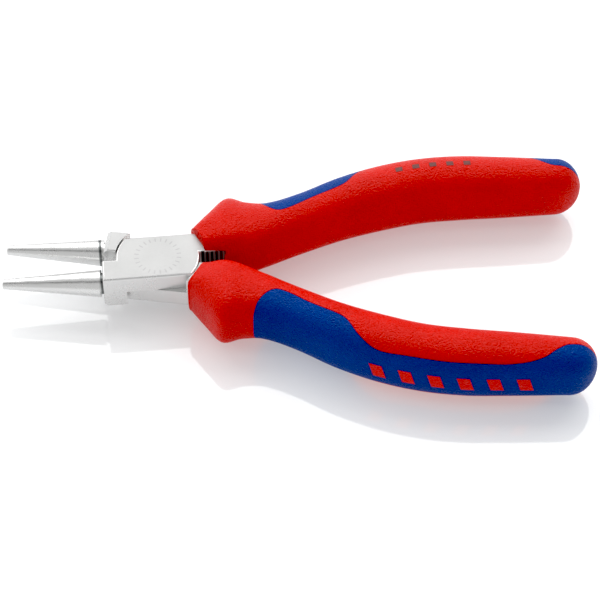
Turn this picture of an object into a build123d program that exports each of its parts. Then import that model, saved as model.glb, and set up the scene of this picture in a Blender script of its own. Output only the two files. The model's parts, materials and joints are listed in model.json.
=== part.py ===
"""Round nose pliers: two forged halves that cross in a lap joint, a rivet, and two-colour grips.

Frame: +Z up, the pliers lie flat on Z = 0 with the jaws towards -X and the handles towards +X.
Both halves have one shape. Each is drawn closed, about the joint axis, on its own plane: the upper
half's plane faces up, and the lower half's is turned over about X. The planes also turn the halves
apart to the rest opening. In that half plane the jaw is on the -Y side and the handle on the +Y side.
"""

import math
import os

from build123d import *

# Layout
rest_opening = 13.0  # angle between the two halves at rest, degrees
pivot_x = -32.81  # joint axis, so that the overall length is centred on X = 0
mid_height = 9.25  # middle of the joint above the surface the grips rest on

# Head
head_thickness = 9.5
head_half_width = 6.5
head_edge_radius = 0.55
plate_radius = 10.0  # each half's lap plate is half the head's thickness
seat_radius = 10.2  # the full-thickness shoulders clear the other half's plate
plate_gap = 0.04  # running gap between the plates
block_front = 13.3  # joint axis to the front of the jaw block
block_bevel = 1.1  # front edge of the jaw block, on the side of the other half's plate
shoulder_end = 16.2  # joint axis to the end of the bare shoulder
grip_step = 0.4  # the shoulder is this much thinner on each face under the grip
jaw_block_gap = 0.15  # from the closing plane to the jaw block
flank_gap = 0.35  # from the closing plane to the handle's inner flank

# Jaws: plain cones whose inner lines meet on the closing plane
jaw_tip_x = -37.15
jaw_base_x = -13.9
jaw_tip_radius = 1.18
jaw_base_radius = 3.25
jaw_tip_edge = 0.3
neck_radius = 2.5  # groove between the cone and the jaw block

# Rivet
rivet_radius = 2.5
rivet_head_radius = 3.6
rivet_head_angle = 90.0
running_clearance = 0.05  # radial, in the lower half only

# Tang inside the grip
tang_width = 4.4
tang_thickness = 6.4
tang_edge_radius = 1.5
tang_line = [(12, 3.4), (18, 4.9), (26, 8.2), (44, 14.8), (57, 18.2), (70, 19.6), (84, 19.0), (92, 18.3)]

# Grip stations: distance along the half, inner side, outer side, half thickness
grip_stations = [
    (7.6, 4.8, 7.4, 5.4),  # nose, beside the head
    (11.0, 1.5, 11.2, 7.4),  # front slope
    (16.3, 0.6, 16.9, mid_height),  # guard
    (20.6, 1.2, 15.5, 8.6),
    (26.0, 2.7, 14.1, 8.0),  # neck
    (33.0, 5.2, 16.2, 8.0),
    (44.0, 9.0, 20.9, 8.6),
    (57.0, 12.5, 24.1, 9.1),
    (70.0, 14.2, 25.2, mid_height),  # belly
    (84.0, 14.0, 24.1, 8.8),
    (98.0, 13.4, 22.1, 8.1),  # start of the round end
]
grip_end = 105.1
grip_end_steps = (0.45, 0.75, 0.92, 0.99)  # shares of the round end's length
grip_squareness = 2.5  # superellipse exponent of the grip's section
grip_front_radius = 11.2  # clears both lap plates
section_points = 16

# Soft inlay on the outer side of each grip
inlay_thickness = 2.2
inlay_reach = 40.0  # beyond the grip's outer side
inlay_edge = [
    (24.4, 14.3),
    (26.0, 11.0),
    (29.0, 9.2),
    (45.0, 14.9),
    (50.4, 19.8),
    (54.0, 22.2),
    (60.0, 23.3),
    (71.0, 24.0),
    (82.0, 23.1),
    (89.0, 22.1),
    (93.4, 19.4),
    (96.0, 17.3),
    (110.0, 15.5),
]


def half_plane(side):
    """Middle plane of a half at rest, centred on the joint: side is 1 for the upper, -1 for the lower."""
    turn = math.radians(side * rest_opening / 2)
    return Plane(
        origin=(pivot_x, 0, mid_height),
        x_dir=(math.cos(turn), math.sin(turn), 0),
        z_dir=(0, 0, side),
    )


def forge_half(half, hole_clearance):
    """One forged half: jaw cone, jaw block, lap plate, shoulder and tang, with the rivet's hole."""
    half_thickness = head_thickness / 2
    side_x = math.sqrt(plate_radius**2 - head_half_width**2)
    block_x = math.sqrt(plate_radius**2 - jaw_block_gap**2)
    flank_x = math.sqrt(plate_radius**2 - flank_gap**2)
    with BuildPart() as forging:
        # Blank of the head at full thickness
        with BuildSketch(half):
            with BuildLine():
                Polyline(
                    (-block_x, -jaw_block_gap),
                    (-block_front, -jaw_block_gap),
                    (-block_front, -head_half_width),
                    (side_x, -head_half_width),
                )
                RadiusArc((side_x, -head_half_width), (flank_x, flank_gap), -plate_radius)
                Polyline(
                    (flank_x, flank_gap),
                    (shoulder_end, flank_gap),
                    (shoulder_end, head_half_width),
                    (-side_x, head_half_width),
                )
                RadiusArc((-side_x, head_half_width), (-block_x, -jaw_block_gap), -plate_radius)
            make_face()
        extrude(amount=half_thickness, both=True)
        flat_faces = forging.faces().filter_by(Axis.Z).sort_by(Axis.Z)
        fillet(flat_faces[-1].edges() + flat_faces[0].edges(), head_edge_radius)

        # Room for the other half's plate
        with BuildSketch(half.offset(plate_gap / 2)):
            Circle(seat_radius)
        extrude(amount=-head_thickness, mode=Mode.SUBTRACT)

        # Bevel along the front of the jaw block
        corner = half.from_local_coords((-block_front, 0, -half_thickness))
        with BuildSketch(Plane(origin=corner, x_dir=half.x_dir, z_dir=half.y_dir)):
            Rectangle(math.sqrt(2) * block_bevel, math.sqrt(2) * block_bevel, rotation=45)
        extrude(amount=2 * head_half_width, both=True, mode=Mode.SUBTRACT)

        # Step that seats the grip flush with the ground faces
        for face_side in (1, -1):
            with BuildSketch(half.offset(face_side * half_thickness)):
                with Locations((shoulder_end, 0)):
                    Rectangle(2 * shoulder_end, 2 * shoulder_end)
                Circle(grip_front_radius, mode=Mode.SUBTRACT)
            extrude(amount=-face_side * grip_step, mode=Mode.SUBTRACT)

        # Jaw cone and the groove behind it, turned about the cone's own axis
        slope = math.asin((jaw_base_radius - jaw_tip_radius) / (jaw_base_x - jaw_tip_x))
        jaw_axis_y = -jaw_tip_radius / math.cos(slope)
        tip_centre = half.from_local_coords((jaw_tip_x, jaw_axis_y, 0))
        back = half.x_dir * math.cos(slope) - half.y_dir * math.sin(slope)
        jaw_length = (jaw_base_x - jaw_tip_x) / math.cos(slope)
        with BuildSketch(Plane(origin=tip_centre, x_dir=back, z_dir=half.z_dir)) as jaw_profile:
            with BuildLine():
                Polyline(
                    (0, 0),
                    (0, jaw_tip_radius),
                    (jaw_length, jaw_base_radius),
                    (jaw_length, neck_radius),
                    (jaw_length + 2, neck_radius),
                    (jaw_length + 2, 0),
                    close=True,
                )
            make_face()
            rim = jaw_profile.vertices().sort_by_distance((0, jaw_tip_radius, 0))[0]
            fillet(rim, jaw_tip_edge)
        revolve(axis=Axis(tip_centre, back))

        # Tang
        with BuildLine(half) as tang_path:
            Spline(*tang_line)
        tang_start = Plane(origin=tang_path.line @ 0, x_dir=half.z_dir, z_dir=tang_path.line % 0)
        with BuildSketch(tang_start):
            RectangleRounded(tang_thickness, tang_width, tang_edge_radius)
        sweep(path=tang_path.line)

        # Rivet hole, countersunk in the outer face
        with Locations(half.offset(half_thickness)):
            CounterSinkHole(
                radius=rivet_radius + hole_clearance,
                counter_sink_radius=rivet_head_radius + hole_clearance,
                depth=head_thickness,
                counter_sink_angle=rivet_head_angle,
            )
    return forging.part


def grip_body(half, inset):
    """The grip's whole outer form, or with an inset, the same form that much smaller all round."""
    stations = [(x, inner + inset, outer - inset, deep - inset) for x, inner, outer, deep in grip_stations]
    end_start, end_inner, end_outer, end_deep = stations[-1]
    end_length = grip_end - inset - end_start
    for share in grip_end_steps:
        shrink = math.sqrt(1 - share**2)
        middle = (end_inner + end_outer) / 2
        reach = (end_outer - end_inner) / 2 * shrink
        stations.append((end_start + share * end_length, middle - reach, middle + reach, end_deep * shrink))
    with BuildPart() as body:
        for x, inner, outer, deep in stations:
            centre = half.from_local_coords((x, (inner + outer) / 2, 0))
            with BuildSketch(Plane(origin=centre, x_dir=half.y_dir, z_dir=half.x_dir)):
                with BuildLine():
                    Spline(*superellipse((outer - inner) / 2, deep), periodic=True)
                make_face()
        loft(ruled=True)
    return body.part


def superellipse(half_width, half_height):
    """Points round a superellipse, in order."""
    power = 2 / grip_squareness
    points = []
    for step in range(section_points):
        angle = 2 * math.pi * step / section_points
        across = math.copysign(abs(math.cos(angle)) ** power, math.cos(angle))
        up = math.copysign(abs(math.sin(angle)) ** power, math.sin(angle))
        points.append((half_width * across, half_height * up))
    return points


def mould_inlay(half):
    """The soft outer inlay: a skin of the grip's form, kept only outside the inlay's wavy edge."""
    with BuildPart() as inlay:
        add(grip_body(half, 0))
        add(grip_body(half, inlay_thickness), mode=Mode.SUBTRACT)
        with BuildSketch(half):
            with BuildLine():
                Polyline(
                    *inlay_edge,
                    (inlay_edge[-1][0], inlay_reach),
                    (inlay_edge[0][0], inlay_reach),
                    close=True,
                )
            make_face()
        extrude(amount=mid_height + 1, both=True, mode=Mode.INTERSECT)
    return inlay.part


def mould_grip(half, steel, inlay):
    """The hard grip round the tang, cut back for the head and for the inlay."""
    with BuildPart() as grip:
        add(grip_body(half, 0))
        with BuildSketch(half):
            Circle(grip_front_radius)
        extrude(amount=mid_height + 1, both=True, mode=Mode.SUBTRACT)
        add(steel, mode=Mode.SUBTRACT)
        add(inlay, mode=Mode.SUBTRACT)
    return grip.part


upper = half_plane(1)
lower = half_plane(-1)

pieces = {
    "upper_half": forge_half(upper, 0),
    "lower_half": forge_half(lower, running_clearance),
    "upper_inlay": mould_inlay(upper),
    "lower_inlay": mould_inlay(lower),
}
pieces["upper_grip"] = mould_grip(upper, pieces["upper_half"], pieces["upper_inlay"])
pieces["lower_grip"] = mould_grip(lower, pieces["lower_half"], pieces["lower_inlay"])

# Rivet: a shank with a countersunk head flush with each face
with BuildPart() as rivet:
    with BuildSketch(Plane.XZ.shift_origin((pivot_x, 0, mid_height))) as rivet_profile:
        with BuildLine():
            Polyline(
                (0, -head_thickness / 2),
                (rivet_head_radius, -head_thickness / 2),
                (rivet_radius, -head_thickness / 2 + rivet_head_radius - rivet_radius),
                (rivet_radius, head_thickness / 2 - rivet_head_radius + rivet_radius),
                (rivet_head_radius, head_thickness / 2),
                (0, head_thickness / 2),
                close=True,
            )
        make_face()
    revolve(axis=Axis((pivot_x, 0, 0), (0, 0, 1)))
pieces["rivet"] = rivet.part

os.makedirs("parts", exist_ok=True)
for name, piece in pieces.items():
    piece.label = name
    export_step(piece, "parts/" + name + ".step")
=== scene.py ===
"""Round nose pliers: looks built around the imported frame, laid out as an add-on and run as a script."""

import json
import math

import bmesh
import bpy
from bpy.props import FloatProperty, FloatVectorProperty, IntProperty, PointerProperty
from bpy.types import Operator, Panel, PropertyGroup
from mathutils import Matrix, Vector


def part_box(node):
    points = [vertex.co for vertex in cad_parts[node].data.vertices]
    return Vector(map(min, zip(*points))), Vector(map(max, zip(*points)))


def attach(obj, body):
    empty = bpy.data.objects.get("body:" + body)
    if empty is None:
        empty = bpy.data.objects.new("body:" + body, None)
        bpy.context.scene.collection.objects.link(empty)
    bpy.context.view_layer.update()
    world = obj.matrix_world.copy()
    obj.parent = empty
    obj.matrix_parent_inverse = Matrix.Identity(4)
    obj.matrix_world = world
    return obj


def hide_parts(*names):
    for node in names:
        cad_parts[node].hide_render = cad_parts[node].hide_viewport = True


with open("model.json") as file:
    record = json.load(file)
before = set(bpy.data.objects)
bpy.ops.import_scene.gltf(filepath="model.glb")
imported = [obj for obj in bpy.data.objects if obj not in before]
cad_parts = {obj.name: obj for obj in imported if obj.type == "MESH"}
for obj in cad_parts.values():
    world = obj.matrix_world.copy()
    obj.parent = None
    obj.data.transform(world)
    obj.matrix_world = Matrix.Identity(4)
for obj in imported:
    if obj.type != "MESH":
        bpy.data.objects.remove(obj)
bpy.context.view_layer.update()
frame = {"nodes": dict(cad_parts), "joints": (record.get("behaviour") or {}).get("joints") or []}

bl_info = {
    "name": "Round Nose Pliers",
    "version": (1, 0, 0),
    "blender": (4, 5, 0),
    "location": "View3D > Sidebar > Pliers",
    "description": "Builds the grips, steel finishes and studio of a pair of round nose pliers",
    "category": "Object",
}

MM = 0.001
JOINT = Vector(frame["joints"][0]["pos_m"])
HEAD_LOW, HEAD_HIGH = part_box("rivet")
HALF_HEAD = (HEAD_HIGH[2] - HEAD_LOW[2]) / 2

# The grip's form in a closed half's own frame, in mm from the joint:
# along, inner side, outer side, half thickness
GRIP_STATIONS = (
    (8.9, 0.8, 8.5, 7.0),  # front rim
    (13.0, 0.5, 12.8, 8.3),
    (17.5, 0.3, 17.0, 9.1),  # guard
    (22.0, 0.8, 15.5, 8.5),
    (27.0, 2.0, 14.9, 8.0),  # neck
    (35.0, 5.0, 17.0, 8.0),
    (45.0, 8.5, 21.0, 8.4),
    (55.0, 11.0, 23.7, 8.8),
    (65.0, 12.7, 25.0, 9.0),  # belly
    (75.0, 12.8, 25.1, 8.9),
    (85.0, 12.4, 24.0, 8.6),
    (98.8, 12.0, 22.2, 8.0),  # start of the round end
)
OUTER_SQUARENESS = 2.8
INNER_SQUARENESS = 3.2
GUARD = 17.5
GUARD_REACH = 8.6
GUARD_SQUARENESS = 4.6  # of the inner side, fading to the usual one over the reach
OUTER_FALL = 0.06  # slope of top and bottom either side of the ridge
INNER_FALL = 0.2
FALL_START = 30.0  # the inner slope grows from nothing at the rim to full here
RIDGE = 0.44  # place of the ridge along top and bottom, as a share of the width from the inner side
GRIP_END = 105.1
RIM_RADIUS = 11.3  # the front rim follows the round lap plate
RIM_SIDE = 7.4  # how far out the rim stays round
RIM_FADE = 9.0  # the sections are flat again this far behind the rim
RIM_EDGE = 0.5
RING_STEP = 0.7
RING_POINTS = 72
END_RINGS = 14

# The inlay's edge seen from above, in the same frame
INLAY_EDGE = (
    (25.0, 14.5),
    (26.0, 12.0),
    (29.0, 9.2),
    (32.0, 9.5),
    (38.0, 12.2),
    (45.0, 15.0),
    (47.0, 16.3),
    (50.0, 19.7),
    (54.0, 22.2),
    (60.0, 23.3),
    (71.0, 24.0),
    (82.0, 23.2),
    (89.0, 22.0),
    (93.0, 20.5),
    (95.5, 18.5),
    (98.0, 17.0),
    (110.0, 15.5),
)
EDGE_STEP = 0.7
INLAY_FAR = 45.0  # beyond everything on the outer side
CUTTER_REACH = 14.0

# Marks on the grips
BAR_PROUD = 0.05
BAR_DEPTH = 0.4
BAR_ROW = (55.0, 6.8, 0.5)  # start, pitch, height of the row
BAR_SIZE = (3.0, -4.3)
BAR_LEAN = -1.2
DOT_ROW = (60.0, 4.2, 1.0)  # start, pitch, distance from the ridge
DOT_SIZE = (1.7, 1.5)

# Strip of black cloth above the camera, which draws the dark line along the jaws
FLAG_PLACE = (0.0, -0.36, 0.8)
FLAG_SIZE = (2.6, 0.18)

# Spark-eroded grain of the plastics, in metres and grains per metre
GRAIN_SCALE = 2400.0
GRAIN_DEPTH = 0.75 * MM

# Steel areas along a closed half, in mm from the joint
# FLANK_START and FLANK_SIDE bound the inner flank, where the chrome is painted as shade.
FLANK_START = 10.3
FLANK_SIDE = 0.6
# The neck groove between these places gets the flank's dark colour as painted shade.
GROOVE = (-13.95, -13.28)
RIB_PITCH = 1.1 * MM
TICK_RING = (4.5, 5.6)  # inner and outer radius of the engraved ticks
TICK_WIDTH = 0.75  # sine level above which a tick is cut
TOP_BAND = 0.1 * MM
FLAT_BAND = 0.02 * MM
GROUND_AND_SHADE_SHARE = 0.53  # shares of the chrome's colour for the flat faces, darkened there as painted shade, and for the engraved ticks, and of the flank's colour for the painted shade between its ribs
TICK_SHARE = 0.38
RIB_SHADE_SHARE = 0.35

# Lights: place, size, power
BACK_SOFTBOX = ((0.0, 1.15, 1.25), (3.2, 1.5), 31.5)
LEFT_SOFTBOX = ((-1.6, 0.1, 0.8), (0.9, 0.9), 4.0)
AIR_LIGHT = 0.74
FLOOR_LIGHT = 0.52
FLOOR_SIZE = 6


class PliersGrips(PropertyGroup):
    """Sizes and colours of the two grips."""

    opening: FloatProperty(
        name="Rest opening", description="Angle between the halves at rest",
        default=math.radians(13), subtype="ANGLE"
    )
    seam: FloatProperty(
        name="Seam", description="Gap along the seam between body and inlay",
        default=0.14 * MM, unit="LENGTH"
    )
    marks: IntProperty(name="Marks", description="Plain bars set in each inlay", default=6, min=1)
    dots: IntProperty(name="Dots", description="Plain dots printed on the upper grip", default=5, min=1)
    red: FloatVectorProperty(
        name="Body", description="Colour of the hard grip",
        default=(0.76, 0.018, 0.010), size=3, subtype="COLOR"
    )
    blue: FloatVectorProperty(
        name="Inlay", description="Colour of the soft inlay",
        default=(0.001, 0.055, 0.31), size=3, subtype="COLOR"
    )


class PliersSteel(PropertyGroup):
    """Finish of the forged halves and the rivet."""

    chrome: FloatVectorProperty(
        name="Chrome", description="Colour of the plated steel",
        default=(0.74, 0.74, 0.735), size=3, subtype="COLOR"
    )
    # The flank colour is painted shade: the chrome's inner flank lies in the grips' shade, and this dark
    # colour stands in for it.
    shaded_flank: FloatVectorProperty(
        name="Flank", description="Colour of the blackened inner flank",
        default=(0.22, 0.24, 0.24), size=3,
        subtype="COLOR",
    )
    tick_count: IntProperty(name="Ticks", description="Engraved ticks round the joint", default=24, min=3)


class PliersStudio(PropertyGroup):
    """Camera, lights and floor."""

    camera_place: FloatVectorProperty(
        name="Camera", description="Camera from the joint axis on the floor",
        default=(0.03844, -0.32244, 0.38445),
        size=3, unit="LENGTH",
    )
    camera_tilt: FloatProperty(
        name="Tilt", description="Camera tilt",
        default=math.radians(39.86), subtype="ANGLE",
    )
    camera_turn: FloatProperty(
        name="Turn", description="Camera turn",
        default=math.radians(0.826), subtype="ANGLE",
    )
    lens: FloatProperty(name="Lens", description="Focal length in millimetres", default=124.2)
    black: FloatProperty(name="Black", description="Brightness that is taken as black", default=0.05)
    floor: FloatVectorProperty(
        name="Floor", description="Colour of the floor",
        default=(0.62, 0.625, 0.63), size=3, subtype="COLOR"
    )


class Value:
    """A shader socket that does sums: every operator adds a Math node."""

    def __init__(self, finish, socket):
        self.finish = finish
        self.socket = socket

    def sum(self, operation, first, second):
        return self.finish.node("ShaderNodeMath", {"operation": operation}, {0: first, 1: second})

    def __add__(self, other):
        return self.sum("ADD", self, other)

    def __sub__(self, other):
        return self.sum("SUBTRACT", self, other)

    def __rsub__(self, other):
        return self.sum("SUBTRACT", other, self)

    def __mul__(self, other):
        return self.sum("MULTIPLY", self, other)

    def __rmul__(self, other):
        return self.sum("MULTIPLY", other, self)

    def __gt__(self, other):
        return self.sum("GREATER_THAN", self, other)

    def __lt__(self, other):
        return self.sum("LESS_THAN", self, other)


class Finish:
    """A material: one Principled shader, with fixed settings on its own sockets and nodes that feed it."""

    def __init__(self, name, **fixed):
        self.material = bpy.data.materials.new(name)
        self.material.use_nodes = True
        self.tree = self.material.node_tree
        self.shader = self.tree.nodes["Principled BSDF"]
        for socket, value in fixed.items():
            self.shader.inputs[socket.replace("_", " ")].default_value = value

    def node(self, kind, settings, inputs, output=0):
        """Adds a node, makes its settings, then sets or links its inputs, and gives one output."""
        node = self.tree.nodes.new(kind)
        for name, value in settings.items():
            setattr(node, name, value)
        for name, value in inputs.items():
            if isinstance(value, Value):
                self.tree.links.new(value.socket, node.inputs[name])
            else:
                node.inputs[name].default_value = value
        return Value(self, node.outputs[output])

    def feed(self, socket, value):
        self.tree.links.new(value.socket, self.shader.inputs[socket])

    def place(self, centre=(0, 0, 0), turn=0.0, scale=(1, 1, 1)):
        """Object coordinates, moved, turned about Z and stretched."""
        raw = self.node("ShaderNodeTexCoord", {}, {}, "Object")
        moved = self.node("ShaderNodeVectorMath", {"operation": "SUBTRACT"}, {0: raw, 1: centre})
        inputs = {"Vector": moved, "Rotation": (0, 0, turn), "Scale": scale}
        return self.node("ShaderNodeMapping", {"vector_type": "POINT"}, inputs)

    def split(self, vector):
        """The three parts of a vector."""
        return [self.node("ShaderNodeSeparateXYZ", {}, {0: vector}, part) for part in ("X", "Y", "Z")]

    def noise(self, vector, scale, detail=3.0, rough=0.6):
        return self.node(
            "ShaderNodeTexNoise", {}, {"Vector": vector, "Scale": scale, "Detail": detail, "Roughness": rough}
        )

    def spread(self, value, low, high, from_low=0.0, from_high=1.0):
        """Maps a value's range to another."""
        return self.node(
            "ShaderNodeMapRange", {"clamp": True},
            {"Value": value, "From Min": from_low, "From Max": from_high, "To Min": low, "To Max": high},
        )

    def mix(self, share, first, second):
        """Mixes two colours."""
        inputs = {0: share}
        for socket, colour in ((6, first), (7, second)):
            inputs[socket] = colour if isinstance(colour, Value) else (*colour, 1)
        return self.node("ShaderNodeMix", {"data_type": "RGBA"}, inputs, 2)

    def bump(self, height, strength, distance):
        inputs = {"Height": height, "Strength": strength, "Distance": distance}
        self.feed("Normal", self.node("ShaderNodeBump", {}, inputs, "Normal"))


def deselect():
    bpy.ops.object.select_all(action="DESELECT")


def use(piece):
    """Makes a piece the only selected and active object."""
    deselect()
    piece.select_set(True)
    bpy.context.view_layer.objects.active = piece


def curve_through(points, x):
    """Smooth curve through points that are in order of their first value, read at x."""
    last = len(points) - 2
    k = next((i for i in range(last) if x <= points[i + 1][0]), last)
    before, low, high, after = points[max(k - 1, 0)], points[k], points[k + 1], points[min(k + 2, last + 1)]
    span = high[0] - low[0]
    t = min(max((x - low[0]) / span, 0), 1)
    result = []
    for a, b, c, d in zip(before[1:], low[1:], high[1:], after[1:]):
        start = (c - a) / (high[0] - before[0]) * span
        finish = (d - b) / (after[0] - low[0]) * span
        result.append(
            b * (2 * t**3 - 3 * t**2 + 1)
            + start * (t**3 - 2 * t**2 + t)
            + c * (3 * t**2 - 2 * t**3)
            + finish * (t**3 - t**2)
        )
    return result


def signed_power(value, power):
    return math.copysign(abs(value) ** power, value)


def grip_point(along, angle, inset=0.0, shrink=1.0):
    """A point on the grip in mm. The angle is 0 on the outer side and a quarter turn on top."""
    inner, outer, deep = curve_through(GRIP_STATIONS, along)
    ridge = inner + RIDGE * (outer - inner)
    if math.cos(angle) > 0:
        square, fall, width = OUTER_SQUARENESS, OUTER_FALL, outer - ridge
    else:
        front = GRIP_STATIONS[0][0]
        at_guard = (1 + math.cos(math.pi * min(abs(along - GUARD) / GUARD_REACH, 1))) / 2
        square = INNER_SQUARENESS + (GUARD_SQUARENESS - INNER_SQUARENESS) * at_guard
        fall = INNER_FALL * min(max((along - front) / (FALL_START - front), 0), 1)
        width = ridge - inner
    share = signed_power(math.cos(angle), 2 / square)
    z = (deep * shrink - inset) * signed_power(math.sin(angle), 2 / square)
    return along, ridge + (width * shrink - inset) * share, z * (1 - fall * abs(share))


def rim_shift(along, y):
    """How far a grip point moves back so that the front rim follows the lap plate."""
    front = GRIP_STATIONS[0][0]
    fade = min(max((along - front) / RIM_FADE, 0), 1)
    side = min(max(y, 0), RIM_SIDE)
    depth = math.sqrt(RIM_RADIUS**2 - side**2) - math.sqrt(RIM_RADIUS**2 - RIM_SIDE**2)
    return depth * (1 - fade) ** 2 * (1 + 2 * fade)


def grip_ring(along, inset=0.0, shrink=1.0, forward=0.0):
    """One ring of the grip, as points in metres."""
    ring = []
    for step in range(RING_POINTS):
        angle = 2 * math.pi * step / RING_POINTS
        _, y, z = grip_point(min(along, GRIP_STATIONS[-1][0]), angle, inset, shrink)
        ring.append(Vector((along + rim_shift(along, y) - forward, y, z)) * MM)
    return ring


def grip_rings():
    """All rings of the grip, from the rounded front rim to the round end."""
    front, start = GRIP_STATIONS[0][0], GRIP_STATIONS[-1][0]
    rings = []
    for degrees in (90, 60, 30):
        turn = math.radians(degrees)
        rings.append(grip_ring(front, RIM_EDGE * (1 - math.cos(turn)), 1.0, RIM_EDGE * math.sin(turn)))
    count = round((start - front) / RING_STEP)
    rings += [grip_ring(front + (start - front) * k / count) for k in range(count)]
    for k in range(END_RINGS):
        turn = math.pi / 2 * k / END_RINGS
        rings.append(grip_ring(start + (GRIP_END - start) * math.sin(turn), 0.0, math.cos(turn)))
    return rings


def loft(name, rings):
    """A closed solid through rings of points: a filled circle, extruded and shaped once for each ring."""
    deselect()
    bpy.ops.mesh.primitive_circle_add(vertices=len(rings[0]), radius=1, fill_type="NGON")
    piece = bpy.context.object
    piece.name = name
    for vertex, point in zip(piece.data.vertices, rings[0]):
        vertex.co = point
    bpy.ops.object.mode_set(mode="EDIT")
    bpy.ops.mesh.select_all(action="SELECT")
    for before, ring in zip(rings, rings[1:]):
        bpy.ops.mesh.extrude_region_move()
        sheet = bmesh.from_edit_mesh(piece.data)
        left = list(range(len(ring)))
        for vertex in [v for v in sheet.verts if v.select]:
            match = min(left, key=lambda k: (before[k] - vertex.co).length_squared)
            left.remove(match)
            vertex.co = ring[match]
        bmesh.update_edit_mesh(piece.data)
    bpy.ops.mesh.select_all(action="SELECT")
    bpy.ops.mesh.normals_make_consistent(inside=False)
    bpy.ops.object.mode_set(mode="OBJECT")
    return piece


def inlay_cutter():
    """A tall prism over the inlay's area, seen from above."""
    first, last = INLAY_EDGE[0][0], INLAY_EDGE[-1][0]
    count = round((last - first) / EDGE_STEP)
    places = [first + (last - first) * k / count for k in range(count + 1)]
    outline = [(x, curve_through(INLAY_EDGE, x)[0]) for x in places]
    outline += [(last, INLAY_FAR), (first, INLAY_FAR)]
    rings = [[Vector((x, y, z)) * MM for x, y in outline] for z in (-CUTTER_REACH, CUTTER_REACH)]
    return loft("inlay_cutter", rings)


def modify(piece, name, kind, **settings):
    """Adds a modifier and applies it."""
    modifier = piece.modifiers.new(name, kind)
    for setting, value in settings.items():
        setattr(modifier, setting, value)
    use(piece)
    bpy.ops.object.modifier_apply(modifier=name)


def copy_of(piece, name):
    twin = piece.copy()
    twin.data = piece.data.copy()
    twin.name = name
    bpy.context.collection.objects.link(twin)
    return twin


def half_matrix(side):
    """From a closed half's own frame to its place at rest: side is 1 for the upper half, -1 for the lower."""
    opening = bpy.context.scene.pliers_grips.opening
    turned_over = Matrix.Rotation(0 if side == 1 else math.pi, 4, "X")
    return Matrix.Translation(JOINT) @ Matrix.Rotation(side * opening / 2, 4, "Z") @ turned_over


def place_on_half(piece, side):
    piece.data.transform(half_matrix(side))
    piece.data.update()


def smooth(piece, degrees):
    use(piece)
    bpy.ops.object.shade_smooth_by_angle(angle=math.radians(degrees))


def dress(piece, finish):
    piece.data.materials.clear()
    piece.data.materials.append(finish.material)


def moulded_finish(name, colour, grain, roughness):
    """Moulded plastic with a fine spark-eroded grain."""
    finish = Finish(name, Metallic=0.0, IOR=1.5, Specular_IOR_Level=0.5)
    place = finish.place()
    grains = finish.noise(place, GRAIN_SCALE, 2.0, 0.6)
    cloud = finish.noise(place, 90.0, 3.0, 0.6)
    darker = [part * 0.92 for part in colour]
    finish.feed("Base Color", finish.mix(finish.spread(cloud, 0, 1, 0.35, 0.65), darker, colour))
    finish.feed("Roughness", finish.spread(grains, roughness - 0.1, roughness + 0.1, 0.35, 0.65))
    finish.bump(grains, grain, GRAIN_DEPTH)
    return finish


def steel_finish(name, side):
    """Satin chrome: rougher from grinding on the flat faces of the head, which also get a darker colour as
    painted shade; turned on the jaws; a dark colour painted as shade on the handle's inner flank, striped
    with painted highlight, and in the neck groove.
    """
    steel = bpy.context.scene.pliers_steel
    opening = bpy.context.scene.pliers_grips.opening
    finish = Finish(name, Metallic=1.0)
    place = finish.place(JOINT, -side * opening / 2, (1, side, side))
    x, y, z = finish.split(place)
    speckle = finish.noise(place, 1500.0, 3.0, 0.7)
    cloud = finish.noise(place, 160.0, 3.0, 0.5)
    # Painted shade: the inner flank under the grips gets a dark, hardly metallic colour in place of the shade
    # there.
    shaded_flank = (x > FLANK_START * MM) * (y < FLANK_SIDE * MM)
    # Painted shade in the jaws' neck groove, a recess the chrome shows dark.
    groove_shade = (x > GROOVE[0] * MM) * (x < GROOVE[1] * MM)
    across = finish.node("ShaderNodeCombineXYZ", {}, {"X": x, "Y": y})
    radius = finish.node("ShaderNodeVectorMath", {"operation": "LENGTH"}, {0: across}, "Value")
    angle = finish.node("ShaderNodeMath", {"operation": "ARCTAN2"}, {0: y, 1: x})
    wave = finish.node("ShaderNodeMath", {"operation": "SINE"}, {0: angle * float(steel.tick_count)})
    ring = (radius > TICK_RING[0] * MM) * (radius < TICK_RING[1] * MM)
    ticks = (wave > TICK_WIDTH) * ring * (z > HALF_HEAD - TOP_BAND)
    # The flat faces are rougher from grinding, which is real, and take this darker colour, which is painted
    # shade that tones down the back softbox's reflection.
    ground_and_shade = [part * GROUND_AND_SHADE_SHARE for part in steel.chrome]
    grey = [part * TICK_SHARE for part in steel.chrome]
    flat = (z > HALF_HEAD - FLAT_BAND) + (z < FLAT_BAND - HALF_HEAD)
    colour = finish.mix(ticks * 0.5, finish.mix(flat, steel.chrome, ground_and_shade), grey)
    # Painted highlight and shade in stripes across the flank: lighter ribs and darker bands between them.
    ribs = finish.node("ShaderNodeMath", {"operation": "SINE"}, {0: x * (2 * math.pi / RIB_PITCH)}) > 0.0
    shadow = [part * RIB_SHADE_SHARE for part in steel.shaded_flank]
    black = finish.mix(ribs, shadow, steel.shaded_flank)
    # Painted shade: the flank and the neck groove take the dark colour in place of the chrome.
    finish.feed("Base Color", finish.mix(shaded_flank + 0.85 * groove_shade, colour, black))
    finish.feed("Metallic", 1 - 0.8 * shaded_flank)
    rough = finish.spread(cloud, 0.21, 0.26, 0.3, 0.7) + 0.1 * speckle
    finish.feed("Roughness", rough + 0.2 * shaded_flank + 0.22 * flat)
    finish.bump(speckle - 0.6 * ticks, 0.35, 0.02 * MM)
    return finish


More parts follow.
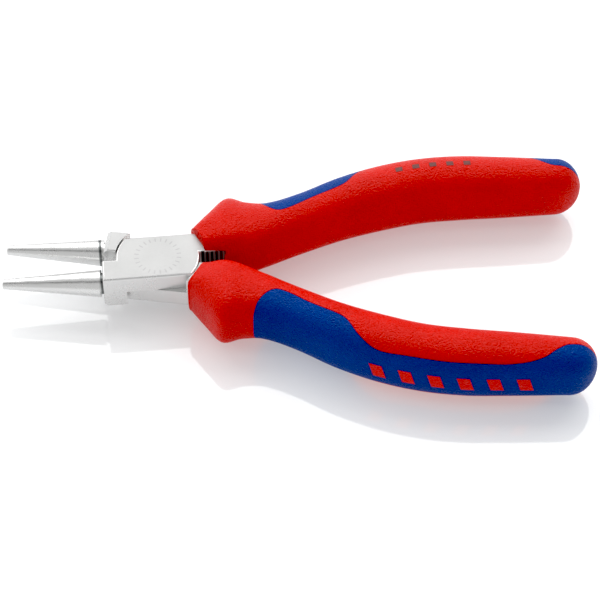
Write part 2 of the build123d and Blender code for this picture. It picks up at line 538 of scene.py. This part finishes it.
class PLIERS_OT_grips(Operator):
    """Models one grip, parts it along the inlay's edge, and sets a copy on each half"""

    bl_idname = "pliers.grips"
    bl_label = "Grips"

    def execute(self, context):
        sizes = context.scene.pliers_grips
        red = moulded_finish("red_grip_plastic", sizes.red, 0.8, 0.40)
        blue = moulded_finish("blue_inlay_plastic", sizes.blue, 0.9, 0.46)
        body = loft("grip_form", grip_rings())
        inlay = copy_of(body, "inlay_form")
        cutter = inlay_cutter()
        modify(body, "part", "BOOLEAN", operation="DIFFERENCE", object=cutter, solver="EXACT")
        cutter.data.transform(Matrix.Translation((0, sizes.seam, 0)))
        modify(inlay, "part", "BOOLEAN", operation="INTERSECT", object=cutter, solver="EXACT")
        bpy.data.objects.remove(cutter)
        for form in (body, inlay):
            smooth(form, 35)
        for side, half in ((1, "upper"), (-1, "lower")):
            for form, kind, finish, slot in (
                (body, "grip", red, "red_grip"),
                (inlay, "inlay", blue, "blue_inlay"),
            ):
                piece = copy_of(form, f"{half}_{kind}_moulding")
                place_on_half(piece, side)
                dress(piece, finish)
                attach(piece, half)
                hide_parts(f"{half}_{kind}")
        for form in (body, inlay):
            bpy.data.objects.remove(form)
        return {"FINISHED"}


def side_point(along, z, lift):
    """A point on the outer side of the grip at a height z, in metres."""
    deep = curve_through(GRIP_STATIONS, along)[2]
    angle = math.asin(signed_power(z / deep, OUTER_SQUARENESS / 2))
    return Vector(grip_point(along, angle, -lift)) * MM


def top_point(along, across, lift):
    """A point on the top of the grip, outwards from its ridge, in metres."""
    inner, outer = curve_through(GRIP_STATIONS, along)[:2]
    angle = math.acos(signed_power(across / ((1 - RIDGE) * (outer - inner)), OUTER_SQUARENESS / 2))
    return Vector(grip_point(along, angle, -lift)) * MM


def bars(name, count, place, size, lean, surface):
    """A row of plain slanting bars laid on the grip: each is a grid bent to the surface and thickened."""
    start, pitch, level = place
    row = []
    for k in range(count):
        deselect()
        bpy.ops.mesh.primitive_grid_add(x_subdivisions=6, y_subdivisions=14, size=1)
        bar = bpy.context.object
        for vertex in bar.data.vertices:
            u, v = vertex.co.x, vertex.co.y
            along = start + k * pitch + u * size[0] + v * lean
            vertex.co = surface(along, level + v * size[1], BAR_PROUD)
        row.append(bar)
    deselect()
    for bar in row:
        bar.select_set(True)
    bpy.context.view_layer.objects.active = row[0]
    bpy.ops.object.join()
    piece = bpy.context.object
    piece.name = name
    modify(piece, "thicken", "SOLIDIFY", thickness=BAR_DEPTH * MM, offset=-1.0)
    bpy.ops.object.mode_set(mode="EDIT")
    bpy.ops.mesh.select_all(action="SELECT")
    bpy.ops.mesh.normals_make_consistent(inside=False)
    bpy.ops.object.mode_set(mode="OBJECT")
    return piece


class PLIERS_OT_marks(Operator):
    """Sets plain bars in both inlays and prints dots on the upper grip"""

    bl_idname = "pliers.marks"
    bl_label = "Marks"

    def execute(self, context):
        sizes = context.scene.pliers_grips
        red = moulded_finish("red_mark_plastic", sizes.red, 0.5, 0.42)
        grey = moulded_finish("grey_print", (0.16, 0.05, 0.045), 0.3, 0.5)
        for side, half in ((1, "upper"), (-1, "lower")):
            piece = bars(f"{half}_inlay_bars", sizes.marks, BAR_ROW, BAR_SIZE, BAR_LEAN, side_point)
            place_on_half(piece, side)
            dress(piece, red)
            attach(piece, half)
        dots = bars("upper_grip_dots", sizes.dots, DOT_ROW, DOT_SIZE, 0.0, top_point)
        place_on_half(dots, 1)
        dress(dots, grey)
        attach(dots, "upper")
        return {"FINISHED"}


class PLIERS_OT_steel(Operator):
    """Gives the forged halves and the rivet their chrome"""

    bl_idname = "pliers.steel"
    bl_label = "Steel"

    def execute(self, context):
        steels = (("upper_half", 1, "upper"), ("lower_half", -1, "lower"), ("rivet", 1, "upper"))
        for node, side, body in steels:
            finish = steel_finish(node + "_chrome", side)
            piece = copy_of(frame["nodes"][node], node + "_forging")
            use(piece)
            bpy.ops.object.mode_set(mode="EDIT")
            bpy.ops.mesh.select_all(action="SELECT")
            bpy.ops.mesh.customdata_custom_splitnormals_clear()
            bpy.ops.mesh.remove_doubles(threshold=0.002 * MM)
            bpy.ops.object.mode_set(mode="OBJECT")
            smooth(piece, 30)
            modify(piece, "flat faces", "WEIGHTED_NORMAL", weight=100, keep_sharp=True)
            dress(piece, finish)
            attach(piece, body)
            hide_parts(node)
        return {"FINISHED"}


class PLIERS_OT_studio(Operator):
    """Sets up the floor, the lights and the camera"""

    bl_idname = "pliers.studio"
    bl_label = "Studio"

    def execute(self, context):
        studio = context.scene.pliers_studio
        deselect()
        bpy.ops.mesh.primitive_plane_add(size=FLOOR_SIZE)
        floor = context.object
        floor.name = "floor"
        finish = Finish(
            "floor_gloss", Base_Color=(*studio.floor, 1), Roughness=0.05, IOR=1.7,
            Emission_Color=(*studio.floor, 1), Emission_Strength=FLOOR_LIGHT,
        )
        dress(floor, finish)
        self.softbox("back_softbox", *BACK_SOFTBOX)
        self.softbox("left_softbox", *LEFT_SOFTBOX)
        bpy.ops.mesh.primitive_plane_add(size=1)
        flag = context.object
        flag.name = "black_flag"
        behind = Vector(FLAG_PLACE)
        facing = behind.to_track_quat("Z", "Y").to_matrix().to_4x4()
        flag.data.transform(Matrix.Translation(behind) @ facing @ Matrix.Diagonal((*FLAG_SIZE, 1, 1)))
        dress(flag, Finish("black_cloth", Base_Color=(0.004, 0.004, 0.004, 1), Roughness=0.9))
        world = bpy.data.worlds.new("studio_air")
        world.use_nodes = True
        air = world.node_tree.nodes["Background"]
        air.inputs["Color"].default_value = (1, 1, 1, 1)
        air.inputs["Strength"].default_value = AIR_LIGHT
        context.scene.world = world
        view = context.scene.view_settings
        view.view_transform = "Standard"
        view.use_curve_mapping = True
        view.curve_mapping.black_level = (studio.black, studio.black, studio.black)
        view.curve_mapping.update()
        place = Vector(studio.camera_place) + Vector((JOINT.x, 0, 0))
        bpy.ops.object.camera_add(location=place, rotation=(studio.camera_tilt, 0, studio.camera_turn))
        camera = context.object
        camera.data.lens = studio.lens
        camera.data.clip_start = 0.01
        context.scene.camera = camera
        return {"FINISHED"}

    @staticmethod
    def softbox(name, place, size, power):
        """A rectangular light that faces the origin."""
        aim = Vector(place).to_track_quat("Z", "Y").to_euler()
        bpy.ops.object.light_add(type="AREA", location=place, rotation=aim)
        light = bpy.context.object
        light.name = name
        light.data.shape = "RECTANGLE"
        light.data.size, light.data.size_y = size
        light.data.energy = power


class PLIERS_PT_panel(Panel):
    """Lists the build steps in the sidebar"""

    bl_idname = "PLIERS_PT_panel"
    bl_label = "Round Nose Pliers"
    bl_space_type = "VIEW_3D"
    bl_region_type = "UI"
    bl_category = "Pliers"

    def draw(self, context):
        for step in STEPS:
            self.layout.operator(step.bl_idname)


STEPS = (PLIERS_OT_steel, PLIERS_OT_grips, PLIERS_OT_marks, PLIERS_OT_studio)
GROUPS = {"pliers_grips": PliersGrips, "pliers_steel": PliersSteel, "pliers_studio": PliersStudio}


def register():
    for kind in (*GROUPS.values(), *STEPS, PLIERS_PT_panel):
        bpy.utils.register_class(kind)
    for name, group in GROUPS.items():
        setattr(bpy.types.Scene, name, PointerProperty(type=group))


def unregister():
    for name in GROUPS:
        delattr(bpy.types.Scene, name)
    for kind in (PLIERS_PT_panel, *reversed(STEPS), *GROUPS.values()):
        bpy.utils.unregister_class(kind)


def main():
    register()
    bpy.ops.pliers.steel()
    bpy.ops.pliers.grips()
    bpy.ops.pliers.marks()
    bpy.ops.pliers.studio()


if __name__ == "__main__":
    main()
